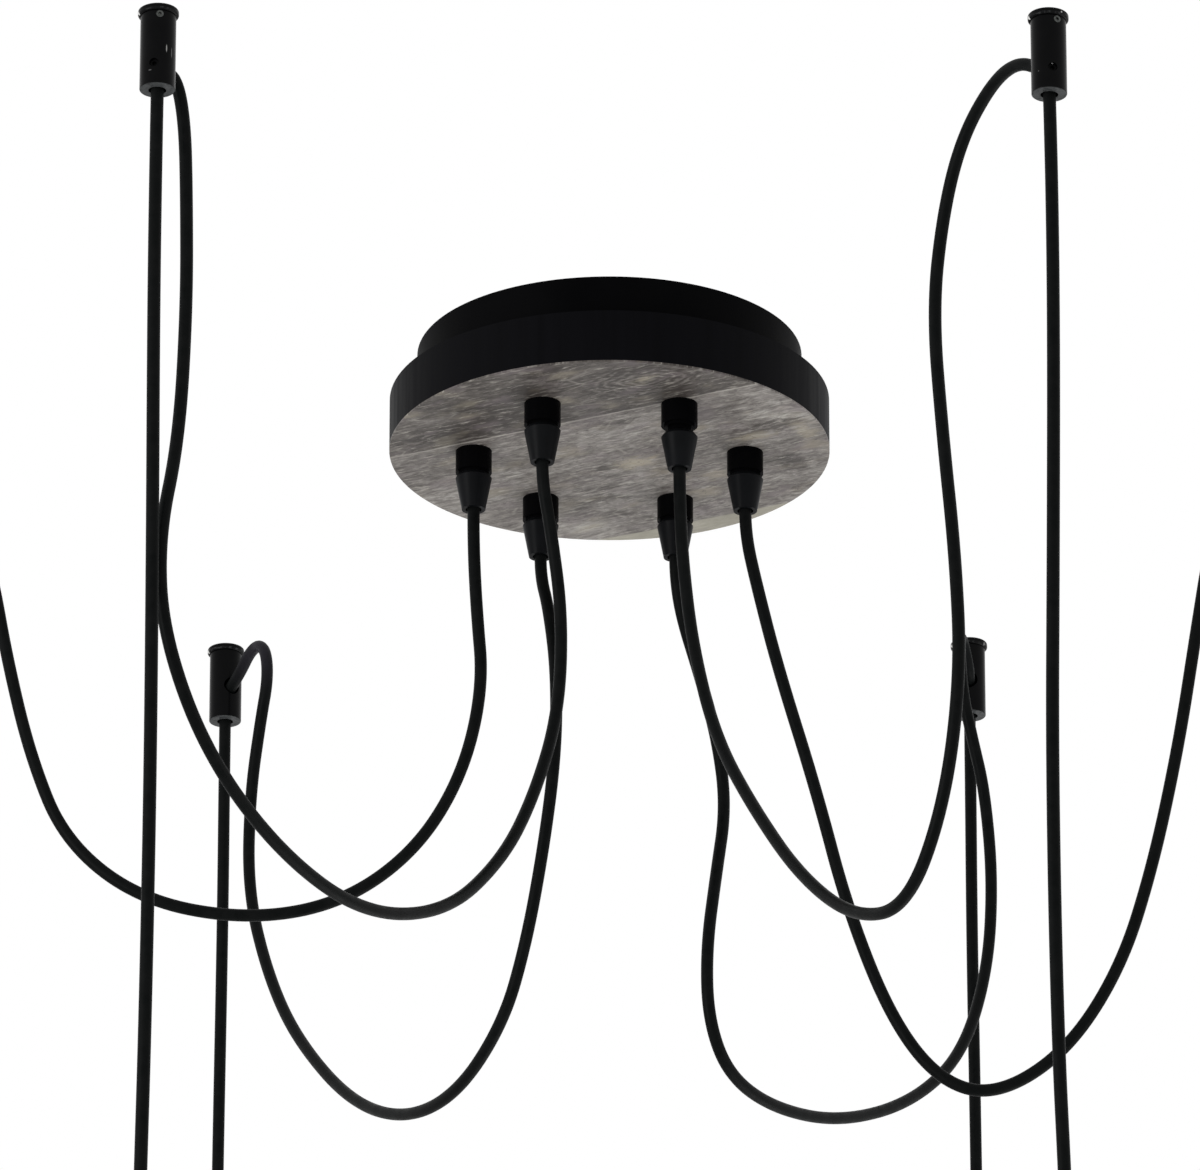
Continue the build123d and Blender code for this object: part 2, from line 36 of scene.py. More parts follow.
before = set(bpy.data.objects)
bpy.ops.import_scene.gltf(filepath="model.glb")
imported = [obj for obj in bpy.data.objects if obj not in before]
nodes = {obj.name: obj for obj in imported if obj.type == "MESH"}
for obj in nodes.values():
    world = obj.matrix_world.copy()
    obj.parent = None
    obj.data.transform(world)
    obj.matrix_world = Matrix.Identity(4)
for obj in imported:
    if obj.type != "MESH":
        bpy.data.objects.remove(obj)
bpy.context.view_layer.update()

# Camera: seen from below and in front through a long lens
picture_width = 1200
focal_pixels = 12000
sensor_width = 36.0
clip_near = 0.1
clip_far = 100
camera_place = Vector((-0.079403, -6.22774, -2.822646))
camera_pitch = radians(23.291029)
camera_yaw = radians(-0.681378)
camera_roll = radians(0.014804)

# Cords
cord_diameter = 0.007
cord_radius = cord_diameter / 2
curve_order = 3
curve_steps = 12
ring_steps = 8

# Hooks and lampholders, as far as the cords need them
side_hole_height = -0.027
hook_radius = 0.0096
hinge_height = -0.04605
cord_in_holder = 0.016

# Cone nuts, and how far each is unscrewed
nut_bottom = -0.0955
nut_slacks = (0, 0, 0, 0, 0, 0.0036)

# Free cords, from grip to hook: reach along the arm, place beside it and height of each
# corner between the ends
swag_routes = (
    ((0, 0, -0.110), (0.006, 0, -0.140), (0.018, 0, -0.192), (0.039, 0, -0.266),
     (0.056, 0, -0.338), (0.080, 0, -0.404), (0.107, 0, -0.441), (0.138, 0, -0.449),
     (0.177, 0, -0.423), (0.208, 0, -0.373), (0.227, 0, -0.312), (0.243, 0, -0.238),
     (0.254, 0, -0.170), (0.264, 0, -0.110), (0.285, 0, -0.062), (0.318, 0, -0.030),
     (0.355, 0, -0.016), (0.386, 0, -0.018)),
    ((0, 0, -0.108), (0.008, 0, -0.130), (0.030, 0, -0.156), (0.053, 0, -0.188),
     (0.064, 0, -0.226), (0.051, 0, -0.272), (0.038, 0, -0.322), (0.040, 0, -0.365),
     (0.066, 0, -0.390), (0.120, -0.002, -0.392), (0.199, -0.005, -0.374),
     (0.281, -0.011, -0.336), (0.338, -0.018, -0.288), (0.371, -0.020, -0.224),
     (0.380, -0.020, -0.162), (0.379, -0.016, -0.104), (0.366, -0.0144, -0.075),
     (0.356, -0.0132, -0.050), (0.352, -0.0134, -0.028), (0.357, -0.0112, -0.011),
     (0.368, -0.008, -0.010), (0.3755, -0.0082, -0.0255)),
    ((0, 0, -0.108), (-0.010, 0, -0.131), (-0.020, 0, -0.175), (-0.019, 0, -0.225),
     (-0.004, 0, -0.278), (0.017, 0, -0.328), (0.044, 0, -0.366), (0.100, 0, -0.390),
     (0.165, 0, -0.384), (0.235, 0, -0.350), (0.305, 0, -0.288), (0.345, 0, -0.234),
     (0.374, 0, -0.170), (0.373, 0, -0.108), (0.359, 0, -0.062), (0.351, 0, -0.042),
     (0.353, 0, -0.023), (0.363, 0, -0.0135), (0.376, 0, -0.0145), (0.387, 0, -0.022)),
    ((0, 0, -0.117), (-0.002, 0, -0.157), (-0.006, 0, -0.205), (0.006, 0, -0.260),
     (0.033, 0, -0.306), (0.075, 0, -0.337), (0.128, 0, -0.346), (0.186, 0, -0.334),
     (0.228, 0, -0.299), (0.248, 0, -0.248), (0.262, 0, -0.190), (0.272, 0, -0.135),
     (0.287, 0, -0.085), (0.312, 0, -0.044), (0.350, 0, -0.020), (0.385, 0, -0.017)),
    ((0, 0, -0.108), (-0.010, 0, -0.132), (-0.024, 0, -0.180), (-0.020, 0, -0.240),
     (0.008, 0, -0.300), (0.045, 0, -0.352), (0.109, 0, -0.406), (0.200, 0, -0.439),
     (0.291, 0, -0.436), (0.370, 0, -0.408), (0.417, 0, -0.358), (0.424, 0, -0.305),
     (0.404, 0, -0.240), (0.398, 0, -0.160), (0.400, 0, -0.095), (0.403, 0, -0.055),
     (0.4067, -0.0028, -0.030), (0.4174, -0.0049, -0.0275)),
    ((0, 0, -0.118), (0.004, 0, -0.160), (0.016, 0, -0.215), (0.042, 0, -0.278),
     (0.085, 0, -0.335), (0.140, 0, -0.396), (0.200, 0, -0.441), (0.258, 0, -0.456),
     (0.300, 0, -0.413), (0.320, 0, -0.345), (0.316, 0, -0.275), (0.303, 0, -0.195),
     (0.294, 0, -0.120), (0.307, 0, -0.068), (0.328, 0, -0.033), (0.362, 0, -0.014),
     (0.391, 0, -0.013), (0.4086, 0.0049, -0.024)),
)
# Slight bends that the hanging cords keep: share of the drop, and places along X and Y
drop_bends = (
    ((0.06, 0, 0), (0.20, 0.0005, 0), (0.38, -0.0006, 0.0004), (0.58, 0.0004, 0.0003),
     (0.78, -0.0004, 0), (0.94, 0, 0)),
    ((0.06, 0, 0), (0.22, -0.0004, 0.0003), (0.40, 0.0003, 0.0005), (0.60, 0.0006, 0),
     (0.80, 0.0002, -0.0004), (0.94, 0, 0)),
    ((0.06, 0, 0), (0.20, 0.0002, 0.0004), (0.42, -0.0007, 0), (0.60, -0.0010, 0),
     (0.80, -0.0006, 0.0003), (0.94, 0, 0)),
    ((0.06, 0, 0), (0.24, -0.0005, 0), (0.40, 0.0004, -0.0004), (0.62, 0.0006, 0),
     (0.80, 0, 0.0003), (0.94, 0, 0)),
    ((0.06, -0.0002, 0), (0.20, 0, 0), (0.40, 0.0014, 0), (0.60, 0.0022, 0.0004),
     (0.80, 0.0016, 0.0003), (0.94, 0.0003, 0)),
    ((0.06, 0.0006, 0), (0.20, 0.0004, 0), (0.40, -0.0018, 0), (0.58, -0.0042, 0.0003),
     (0.80, -0.0036, 0), (0.94, -0.0006, 0)),
)
arms = range(len(swag_routes))


def middle(node):
    low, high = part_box(node)
    return (low + high) / 2


def level(place):
    return Vector((place.x, place.y, 0))


def make_camera():
    forward = Vector((-sin(camera_yaw) * cos(camera_pitch), cos(camera_yaw) * cos(camera_pitch),
                      sin(camera_pitch)))
    right = Vector((cos(camera_yaw), sin(camera_yaw), 0))
    up = right.cross(forward)
    rolled_right = right * cos(camera_roll) + up * sin(camera_roll)
    rolled_up = up * cos(camera_roll) - right * sin(camera_roll)
    data = bpy.data.cameras.new("camera")
    data.sensor_width = sensor_width
    data.lens = sensor_width * focal_pixels / picture_width
    data.clip_start = clip_near
    data.clip_end = clip_far
    camera = bpy.data.objects.new("camera", data)
    axes = Matrix((rolled_right, rolled_up, -forward)).transposed()
    camera.matrix_world = Matrix.Translation(camera_place) @ axes.to_4x4()
    bpy.context.scene.collection.objects.link(camera)
    bpy.context.scene.camera = camera


def grip_centre(arm):
    return level(middle(f"grip_body_{arm + 1}"))


def hook_centre(arm):
    return level(middle(f"hook_body_{arm + 1}"))


def on_arm(arm, reach, aside, height):
    """Place of a cord's corner on an arm."""
    along = (hook_centre(arm) - grip_centre(arm)).normalized()
    across = Vector((-along.y, along.x, 0))
    return grip_centre(arm) + along * reach + across * aside + Vector((0, 0, height))


def cord_curve(name, points):
    """Round cord whose line is a smooth spline with these points as its control points."""
    curve = bpy.data.curves.new(name, "CURVE")
    curve.dimensions = "3D"
    curve.bevel_depth = 1  # times each point's radius, which a curve's box takes in
    curve.bevel_resolution = ring_steps
    curve.use_fill_caps = True
    curve.resolution_u = curve_steps
    spline = curve.splines.new("NURBS")
    spline.points.add(len(points) - 1)
    for point, place in zip(spline.points, points):
        point.co = (*place, 1)
        point.radius = cord_radius
    spline.order_u = curve_order
    spline.use_endpoint_u = True
    cord = bpy.data.objects.new(name, curve)
    bpy.context.scene.collection.objects.link(cord)
    return cord


def swag_cord(arm):
    """Free cord, from its grip's nut to the hole in its hook's side."""
    reach, aside, height = swag_routes[arm][-1]
    inward = (hook_centre(arm) - on_arm(arm, reach, aside, 0)).normalized()
    mouth = hook_centre(arm) - inward * hook_radius + Vector((0, 0, side_hole_height))
    start = grip_centre(arm) + Vector((0, 0, nut_bottom - nut_slacks[arm]))
    points = [start] + [on_arm(arm, *corner) for corner in swag_routes[arm]] + [mouth]
    cord = cord_curve(f"free_cord_{arm + 1}", points)
    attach(cord, "fixture")
    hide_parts(f"swag_cord_{arm + 1}")
    return cord


def drop_cord(arm):
    """Hanging cord, nearly straight, from the hook's outlet into the lampholder."""
    top = hook_centre(arm) + Vector((0, 0, hinge_height))
    holder_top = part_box(f"holder_cap_{arm + 1}")[1].z
    bottom = hook_centre(arm) + Vector((0, 0, holder_top - cord_in_holder))
    drop = bottom - top
    bends = [top + drop * share + Vector((x, y, 0)) for share, x, y in drop_bends[arm]]
    points = [top] + bends + [bottom]
    cord = cord_curve(f"hanging_cord_{arm + 1}", points)
    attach(cord, f"pendant_{arm + 1}")
    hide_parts(f"drop_cord_{arm + 1}")
    return cord


make_camera()
cords = [swag_cord(arm) for arm in arms] + [drop_cord(arm) for arm in arms]


# Wood face: turn of the grain, its wave, and the seams across it
grain_turn = radians(27)
grain_wave = 0.005
seam_across = -0.049
last_seam_across = 0.109
seam_soft = 0.0006
seam_width = 0.0010
seam_wander = 0.004
seam_strength = 0.75
seam_shade = (196, 191, 182)
first_board_tone = -0.31
third_board_share = 0.62
third_board_shade = (178, 174, 158)

# Noises of the face: features per metre along, across and through the boards, offset, detail,
# roughness and distortion
warp_layer = ((18, 30, 1), (0, 0, 0), 2.0, 0.5, 0.0)
bend_layer = ((38, 62, 1), (4, 1, 0), 3.0, 0.5, 0.0)
print_layers = {
    "clouds": ((14, 30, 1), (0, 0, 0), 4.0, 0.5, 0.6),
    "streaks": ((38, 280, 1), (0, 0, 0), 7.0, 0.64, 0.5),
    "mottle": ((100, 220, 1), (0, 0, 0), 6.0, 0.72, 0.8),
    "grit": ((170, 620, 1), (0, 0, 0), 4.0, 0.7, 0.0),
    "pits": ((260, 390, 1), (5, 9, 0), 3.0, 0.7, 0.0),
    "pit_groups": ((45, 70, 1), (2, 4, 0), 2.0, 0.5, 0.0),
    "cool": ((34, 60, 1), (3, 7, 0), 4.0, 0.5, 0.0),
    "warm": ((30, 60, 1), (11, 2, 0), 5.0, 0.5, 0.0),
    "pale": ((80, 430, 1), (1, 6, 0), 5.0, 0.65, 0.0),
    "crack_groups": ((26, 44, 1), (8, 3, 0), 4.0, 0.5, 0.0),
}
# Tone of the face: its mean, the layers' weights in it, and the colours from dark to pale
mean_tone = 0.465
tone_weights = (("clouds", 0.75), ("streaks", 0.95), ("mottle", 1.0), ("grit", 0.85))
print_tones = (
    (0.0, (62, 57, 54)), (0.28, (92, 87, 83)), (0.5, (124, 119, 115)), (0.72, (156, 152, 147)),
    (1.0, (202, 199, 192)),
)
# Tints over it: layer, its values where a tint starts and is full, strength and colour
print_tints = (
    ("cool", 0.50, 0.70, 0.40, (126, 116, 119)),
    ("warm", 0.54, 0.74, 0.55, (146, 138, 122)),
    ("pale", 0.54, 0.68, 0.55, (188, 183, 174)),
)
# Pits in groups: values of each layer from low to high, and the shares there
pit_range = (0.56, 0.66, 0.0, 1.0)
pit_group_range = (0.45, 0.62, 0.15, 0.7)
pit_shade = (74, 68, 68)
# Cracks in groups: cells per metre, values of the groups' layer and the shares there
crack_scale = (30, 130, 1)
crack_group_range = (0.52, 0.66, 0.0, 0.5)
# Their dark sides and pale middles: distances where each is full and ends, strength, colour
print_cracks = ((0.03, 0.16, 0.60, (92, 86, 83)), (0.0, 0.05, 0.55, (184, 179, 170)))

# Soft patches of the face: place along and across the grain, half lengths, and lift of the tone
board_patches = (
    ((0.104, 0.007), (0.020, 0.009), -0.34),
    ((0.010, -0.114), (0.014, 0.008), -0.26),
    ((-0.003, -0.098), (0.013, 0.007), -0.26),
    ((0.024, -0.101), (0.014, 0.006), -0.20),
    ((-0.062, -0.062), (0.046, 0.009), -0.20),
    ((-0.050, -0.0715), (0.050, 0.0018), -0.22),
    ((-0.035, -0.089), (0.060, 0.0016), -0.22),
    ((-0.070, -0.083), (0.014, 0.006), 0.24),
    ((0.020, -0.037), (0.022, 0.004), -0.20),
    ((-0.010, 0.019), (0.014, 0.004), -0.24),
    ((-0.020, 0.045), (0.016, 0.003), -0.22),
    ((-0.030, 0.058), (0.012, 0.006), -0.22),
    ((0.089, 0.060), (0.011, 0.011), -0.26),
    ((-0.057, 0.090), (0.018, 0.009), 0.26),
    ((-0.030, 0.080), (0.012, 0.005), -0.14),
    ((0.030, 0.092), (0.060, 0.006), -0.12),
)
cream_patches = (
    ((0.007, 0.020), (0.012, 0.007), 0.50),
    ((0.085, 0.017), (0.013, 0.006), 0.38),
    ((0.113, 0.020), (0.006, 0.011), 0.34),
    ((0.040, 0.055), (0.008, 0.006), 0.28),
    ((0.064, -0.083), (0.008, 0.004), 0.40),
)
cream_shade = (192, 182, 160)
# In half lengths, where a patch is full and where it ends, and the layers that make it ragged
patch_core = 0.2
patch_reach = 1.3
ragged_weights = (("mottle", 3.2), ("clouds", 2.4), ("streaks", 1.6))

# Arcs of one heart-cut board: centre and squeeze along the grain, reach, and look of the waves
arc_centre = (0.062, -0.081)
arc_squeeze = 0.55
arc_radius = 0.027
arc_strength = 0.38
arc_look = {"Scale": 92.0, "Distortion": 14.0, "Detail": 3.0, "Detail Scale": 0.7,
            "Detail Roughness": 0.6}

# Share of a seam's or an arc's half width that is full
full_share = 0.4

# Painted sheen on the cords, where two loops catch the light: arm, reach and height, size, and
# colour
painted_sheen_places = (
    (2, 0.362, -0.022, 0.030, (44, 42, 48)),
    (1, 0.362, -0.018, 0.018, (34, 36, 38)),
)
# In sizes, how ragged a patch of painted sheen is, and where it is full and ends
sheen_ragged = 0.8
sheen_core = 0.5
sheen_reach = 1.6
sheen_strength = 0.85

# Hooks: heights of the end face, of the flange's lip and between the two screws, and how soft
# the change is there
hook_foot = -0.0472
hook_lip = -0.0030
hook_edge = 0.0004
screw_change = -0.02
screw_soft = 0.001
screw_metallic = 0.9
# Painted reflection on the end face and painted highlight on the lip, broken up by a noise: values
# of that noise from low to high, and the shares there
foot_reflection_breakup = (0.25, 0.6, 0.5, 1.0)
lip_highlight_breakup = (0.5, 0.7, 0.1, 0.9)
# Colours of the painted reflection on the end face and of the painted highlight on the lip
foot_reflection_shade = (74, 76, 77)
lip_highlight_shade = (60, 61, 62)
# Painted glints on the hooks, small highlights painted into the coat: arms, place from the hook's
# centre, half width and height, and colour
painted_glints = (
    (arms, (-0.0106, -0.0029, -0.0034), 0.0010, 0.0016, (235, 235, 232)),
    ((4,), (0.00485, -0.0083, -0.0262), 0.0004, 0.0024, (170, 170, 168)),
    ((4,), (0.0075, -0.0060, -0.0280), 0.0004, 0.0034, (105, 105, 105)),
    ((4,), (-0.0039, -0.0088, -0.0393), 0.0010, 0.0004, (90, 90, 90)),
    ((5,), (0.0068, -0.0087, -0.0021), 0.0006, 0.0006, (200, 200, 198)),
    ((5,), (-0.0060, -0.0075, -0.0367), 0.0004, 0.0004, (80, 80, 80)),
    ((1,), (0.0090, -0.0063, -0.0029), 0.0010, 0.0012, (120, 120, 120)),
)
# In half widths, how ragged a painted glint is, and where it is full and ends
glint_ragged = 0.5
glint_core = 0.8
glint_reach = 1.4

# Earth lead: bands per metre, and where green ends and yellow begins in them
lead_bands = 240
lead_green = (0.47, (40, 120, 48))
lead_yellow = (0.5, (214, 190, 40))

# Plain finishes: colour, roughness, specular level, metallic, spread of tones, and relief
plain_looks = {
    "grip_matte": ((15, 16, 18), 0.40, 0.05, 0.0, 0.16, 0.00004),
    "grip_gloss": ((7, 7, 8), 0.20, 0.012, 0.0, 0.20, 0.00001),
    "collet": ((30, 30, 30), 0.50, 0.5, 0.0, 0.16, 0.00004),
    "locknut": ((26, 26, 27), 0.40, 0.5, 0.0, 0.16, 0.00004),
    "black_oxide": ((22, 22, 23), 0.32, 0.1, 0.0, 0.16, 0.00004),
    "zinc": ((165, 166, 168), 0.34, 0.5, 1.0, 0.08, 0.00004),
    "nylon": ((222, 219, 208), 0.45, 0.5, 0.0, 0.04, 0.00004),
    "brass": ((198, 160, 88), 0.30, 0.5, 1.0, 0.08, 0.00004),
    "lead_blue": ((36, 70, 150), 0.40, 0.5, 0.0, 0.06, 0.00004),
    "lead_brown": ((92, 54, 30), 0.40, 0.5, 0.0, 0.08, 0.00004),
    "phenolic": ((17, 16, 16), 0.28, 0.14, 0.0, 0.12, 0.00002),
    "ceramic": ((216, 213, 204), 0.50, 0.5, 0.0, 0.04, 0.00006),
    "shell_nickel": ((176, 172, 160), 0.30, 0.5, 1.0, 0.08, 0.00004),
    "contact_brass": ((198, 166, 96), 0.32, 0.5, 1.0, 0.08, 0.00004),
}
gloss_spread = 0.15

# A noise's middle, and the values that most of it lies between
noise_middle = 0.5
noise_low = 0.3
noise_high = 0.7


def srgb(red, green, blue):
    """Linear colour of the 0 to 255 values that a picture shows."""
    shares = [value / 255 for value in (red, green, blue)]
    return (*[share / 12.92 if share < 0.0405 else ((share + 0.055) / 1.055) ** 2.4
              for share in shares], 1)


class Finish:
    """A material in the making, with short ways to add and join its nodes.

    Colours are given as the 0 to 255 values that a picture shows.
    """

    def __init__(self, name, colour, roughness, specular=0.5, metallic=0.0):
        self.material = bpy.data.materials.new(name)
        self.material.use_nodes = True
        self.tree = self.material.node_tree
        self.shader = self.tree.nodes["Principled BSDF"]
        self.shader.inputs["Base Color"].default_value = srgb(*colour)
        self.shader.inputs["Roughness"].default_value = roughness
        self.shader.inputs["Specular IOR Level"].default_value = specular
        self.shader.inputs["Metallic"].default_value = metallic
        self.place = self.add("TexCoord").outputs["Object"]
        self.normal = None

    def add(self, kind, joins=None, values=None, **settings):
        """A node with some inputs joined, some set, and its own settings."""
        node = self.tree.nodes.new(f"ShaderNode{kind}")
        for name, value in settings.items():
            setattr(node, name, value)
        for name, value in (values or {}).items():
            node.inputs[name].default_value = value
        for name, output in (joins or {}).items():
            self.tree.links.new(output, node.inputs[name])
        return node

    def scaled(self, scale, place=None, turn=0.0, offset=(0, 0, 0)):
        """Coordinates turned about Z or scaled, in features per metre."""
        node = self.add("Mapping", {"Vector": place or self.place},
                        {"Scale": scale, "Rotation": (0, 0, turn), "Location": offset})
        return node.outputs["Vector"]

    def noise(self, place, scale=1.0, detail=3.0, roughness=0.5, distortion=0.0):
        node = self.add("TexNoise", {"Vector": place},
                        {"Scale": scale, "Detail": detail, "Roughness": roughness,
                         "Distortion": distortion})
        return node.outputs["Fac"]

    def layer(self, place, scale, offset, detail, roughness, distortion):
        """Noise with a scale of its own along each axis."""
        stretched = self.scaled(scale, place, offset=offset)
        return self.noise(stretched, 1.0, detail, roughness, distortion)

    def height(self):
        return self.add("SeparateXYZ", {"Vector": self.place}).outputs["Z"]

    def length(self, vector):
        return self.add("VectorMath", {0: vector}, operation="LENGTH").outputs["Value"]

    def sum(self, first, second, operation="ADD", clamp=False):
        """Result of a sum on outputs or numbers."""
        node = self.add("Math", operation=operation, use_clamp=clamp)
        for slot, value in zip(node.inputs, (first, second)):
            if isinstance(value, (int, float)):
                slot.default_value = value
            else:
                self.tree.links.new(value, slot)
        return node.outputs[0]

    def times(self, first, second):
        return self.sum(first, second, "MULTIPLY")

    def gap(self, value, target):
        """How far a value is from a number."""
        return self.sum(self.sum(value, target, "SUBTRACT"), 0, "ABSOLUTE")

    def swing(self, noise, size):
        """A noise as a swing about 0, up to half this size each way."""
        return self.times(self.sum(noise, noise_middle, "SUBTRACT"), size)

    def between(self, value, low, high, start=0.0, end=1.0):
        """Smooth step of a value from start to end, as it goes from low to high."""
        node = self.add("MapRange", {"Value": value},
                        {"From Min": low, "From Max": high, "To Min": start, "To Max": end},
                        interpolation_type="SMOOTHSTEP")
        return node.outputs["Result"]

    def ramp(self, value, stops):
        """Colour along a ramp of (share, colour) stops."""
        node = self.add("ValToRGB", {"Fac": value})
        band = node.color_ramp.elements
        while len(band) < len(stops):
            band.new(0.5)  # its place is set below
        for element, (share, colour) in zip(band, stops):
            element.position = share
            element.color = srgb(*colour)
        return node.outputs["Color"]

    def shades(self, noise, dark, pale):
        """Colour from dark to pale over most of a noise's values."""
        return self.ramp(noise, ((noise_low, dark), (noise_high, pale)))

    def mix(self, share, under, over):
        """Colour of an output with a share of another colour over it.

        The slots have numbers because the node repeats its names for each kind of value.
        """
        node = self.add("Mix", {0: share, 6: under}, {7: srgb(*over)}, data_type="RGBA")
        return node.outputs[2]

    def use(self, name, output):
        self.tree.links.new(output, self.shader.inputs[name])

    def bump(self, height, distance, strength=1.0):
        """Relief of this height in metres, added to any relief before it."""
        joins = {"Height": height}
        if self.normal:
            joins["Normal"] = self.normal
        node = self.add("Bump", joins, {"Distance": distance, "Strength": strength})
        self.normal = node.outputs["Normal"]
        self.use("Normal", self.normal)

    def vary_roughness(self, noise, low, high):
        self.use("Roughness", self.between(noise, noise_low, noise_high, low, high))

    def vary_colour(self, noise, dark, pale):
        self.use("Base Color", self.shades(noise, dark, pale))


def wood_print():
    """Weathered grey boards, printed: mottled, streaked and flecked along the grain."""
    finish = Finish("wood_print", (125, 120, 116), roughness=0.5, specular=0.25)
    straight = finish.scaled((1, 1, 1), turn=grain_turn)
    parts = finish.add("SeparateXYZ", {"Vector": straight}).outputs
    across = parts["Y"]
    wave = finish.swing(finish.layer(straight, *bend_layer), grain_wave)
    wavy = finish.add("CombineXYZ", {"X": parts["X"], "Y": finish.sum(across, wave)}).outputs[0]
    layers = {name: finish.layer(wavy, *look) for name, look in print_layers.items()}

    def weighed(weights):
        """Sum of layers, each as a swing about 0 with its own weight."""
        return reduce(finish.sum, [finish.swing(layers[name], weight) for name, weight in weights])

    ragged = weighed(ragged_weights)

    def patch(place, size, lift):
        """Ragged soft place with a lift of its own."""
        scale = [1 / length for length in size] + [0]
        offset = [-at / length for at, length in zip(place, size)] + [0]
        ring = finish.sum(finish.length(finish.scaled(scale, wavy, offset=offset)), ragged)
        return finish.between(ring, patch_core, patch_reach, lift, 0.0)

    # First board darker, past a pale seam, and a third one paler
    warp = finish.layer(straight, *warp_layer)
    seam_place = finish.sum(across, finish.swing(warp, seam_wander))

    def beyond(seam, start=0.0, end=1.0):
        """Share that goes from start to end across a seam."""
        return finish.between(seam_place, seam - seam_soft, seam + seam_soft, start, end)

    first_board = beyond(seam_across, 1.0, 0.0)
    third_board = beyond(last_seam_across)
    tone = finish.sum(weighed(tone_weights), mean_tone)
    tone = finish.sum(tone, finish.times(first_board, first_board_tone))
    tone = finish.sum(tone, reduce(finish.sum, [patch(*row) for row in board_patches]))

    arc_offset = (-arc_centre[0] * arc_squeeze, -arc_centre[1], 0)
    arc_space = finish.scaled((arc_squeeze, 1, 0), wavy, offset=arc_offset)
    arcs = finish.add("TexWave", {"Vector": arc_space}, arc_look, wave_type="RINGS",
                      rings_direction="Z").outputs["Fac"]
    arc_share = finish.between(finish.length(arc_space), arc_radius * full_share, arc_radius,
                               arc_strength, 0.0)
    tone = finish.sum(tone, finish.swing(arcs, arc_share))

    colour = finish.ramp(tone, print_tones)
    for name, low, high, strength, shade in print_tints:
        tint = finish.between(layers[name], low, high, 0.0, strength)
        colour = finish.mix(tint, colour, shade)
    cream = reduce(finish.sum, [patch(*row) for row in cream_patches])
    colour = finish.mix(finish.sum(cream, 0, clamp=True), colour, cream_shade)
    pits = finish.times(finish.between(layers["pits"], *pit_range),
                        finish.between(layers["pit_groups"], *pit_group_range))
    colour = finish.mix(pits, colour, pit_shade)
    colour = finish.mix(finish.times(third_board, third_board_share), colour, third_board_shade)
    seam_gap = finish.gap(seam_place, seam_across + seam_width)
    seam_line = finish.between(seam_gap, seam_width * full_share, seam_width, seam_strength, 0.0)
    colour = finish.mix(finish.times(seam_line, layers["clouds"]), colour, seam_shade)
    cracks = finish.add("TexVoronoi", {"Vector": finish.scaled(crack_scale, wavy)}, {"Scale": 1.0},
                        feature="DISTANCE_TO_EDGE").outputs["Distance"]
    crack_groups = finish.between(layers["crack_groups"], *crack_group_range)
    for near, far, strength, shade in print_cracks:
        crack = finish.times(finish.between(cracks, near, far, strength, 0.0), crack_groups)
        colour = finish.mix(crack, colour, shade)
    finish.use("Base Color", colour)
    finish.vary_roughness(layers["streaks"], low=0.44, high=0.60)
    finish.bump(layers["streaks"], distance=0.00012, strength=0.5)
    finish.bump(layers["mottle"], distance=0.00008, strength=0.4)
    return finish.material


def powder_coat():
    """Black powder coat: fine orange peel and faint cloudy wear."""
    finish = Finish("black_powder", (6, 6, 7), roughness=0.48, specular=0.014)
    peel = finish.noise(finish.place, scale=900.0, detail=2.0)
    clouds = finish.noise(finish.place, scale=22.0, detail=4.0)
    finish.vary_colour(clouds, dark=(4, 4, 5), pale=(8, 8, 9))
    finish.vary_roughness(clouds, low=0.46, high=0.56)
    finish.bump(peel, distance=0.00006, strength=0.5)
    return finish.material


def disc_lacquer():
    """Black side of the disc: matte, with faint upright marks from its edging."""
    finish = Finish("black_disc", (6, 6, 8), roughness=0.46, specular=0.030)
    marks = finish.noise(finish.scaled((160, 160, 6)), detail=4.0, roughness=0.6)
    grain = finish.noise(finish.place, scale=1400.0, detail=2.0)
    finish.vary_colour(marks, dark=(5, 5, 7), pale=(9, 9, 12))
    finish.vary_roughness(marks, low=0.44, high=0.56)
    finish.bump(marks, distance=0.0002, strength=0.25)
    finish.bump(grain, distance=0.00004, strength=0.4)
    return finish.material


def cord_sheath():
    """Satin black sheath with faint handling marks, and painted sheen on two loops."""
    finish = Finish("cord_sheath", (15, 17, 17), roughness=0.42, specular=0.03)
    marks = finish.noise(finish.place, scale=130.0, detail=5.0, roughness=0.6)
    grain = finish.noise(finish.place, scale=2600.0, detail=2.0)
    colour = finish.shades(marks, dark=(11, 13, 13), pale=(19, 20, 20))
    # Painted sheen: greyer patches painted where the loops catch the light
    for arm, reach, height, size, shade in painted_sheen_places:
        at = tuple(on_arm(arm, reach, 0, height))
        apart = finish.add("VectorMath", {0: finish.place}, {1: at}, operation="SUBTRACT")
        ring = finish.sum(finish.length(apart.outputs["Vector"]),
                          finish.times(marks, size * sheen_ragged))
        sheen_share = finish.between(ring, size * sheen_core, size * sheen_reach, sheen_strength, 0.0)
        colour = finish.mix(sheen_share, colour, shade)
    finish.use("Base Color", colour)
    finish.vary_roughness(marks, low=0.36, high=0.50)
    finish.bump(marks, distance=0.00010, strength=0.3)
    finish.bump(grain, distance=0.00003, strength=0.4)
    return finish.material


